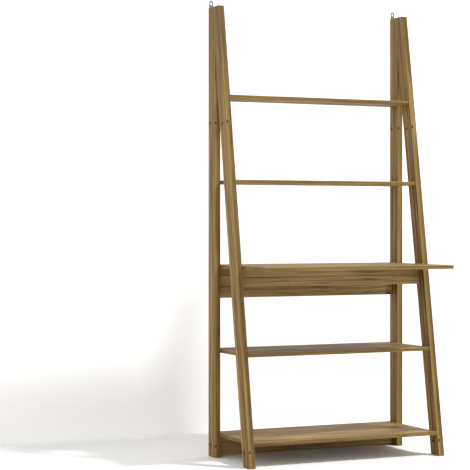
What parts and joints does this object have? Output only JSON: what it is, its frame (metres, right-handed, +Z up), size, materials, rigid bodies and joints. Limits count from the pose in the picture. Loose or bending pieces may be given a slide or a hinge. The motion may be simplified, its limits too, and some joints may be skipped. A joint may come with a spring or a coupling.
{
  "type": "ladder desk",
  "caption": "Ladder desk with leaning side frames that carry stepped open shelves, a writing board that overhangs the legs, bracing rails and steel straps to a wall.",
  "frame": {"origin": "on the floor, in the middle of the overall box", "axes": "+X to the right seen from the front, -Y towards the sitter, +Y towards the wall, +Z up"},
  "size_m": [0.866, 0.5056, 1.832],
  "materials": {
    "oak_frame": "oiled",
    "oak_leg": "oiled",
    "oak_board": "oiled",
    "oak_rail": "oiled",
    "beech_spline": "raw",
    "strap_steel": "zinc plated",
    "screw_steel": "zinc plated",
    "bolt_steel": "zinc plated",
    "cam_zinc": "die-cast zinc",
    "glide_nylon": "moulded"
  },
  "bodies": {
    "root": {"left_rear_post": "oak_frame", "right_rear_post": "oak_frame", "left_front_leg": "oak_leg", "right_front_leg": "oak_leg", "top_shelf": "oak_board", "upper_shelf": "oak_board", "desk_top": "oak_board", "lower_shelf": "oak_board", "bottom_shelf": "oak_board", "desk_front_rail": "oak_rail", "desk_rear_rail": "oak_rail", "bottom_rear_rail": "oak_rail", "left_frame_spline": "beech_spline", "right_frame_spline": "beech_spline", "left_wall_strap": "strap_steel", "right_wall_strap": "strap_steel", "strap_screws": "screw_steel", "cam_bolts": "bolt_steel", "cam_locks": "cam_zinc", "left_front_glide": "glide_nylon", "left_rear_glide": "glide_nylon", "right_front_glide": "glide_nylon", "right_rear_glide": "glide_nylon"}
  },
  "joints": []
}
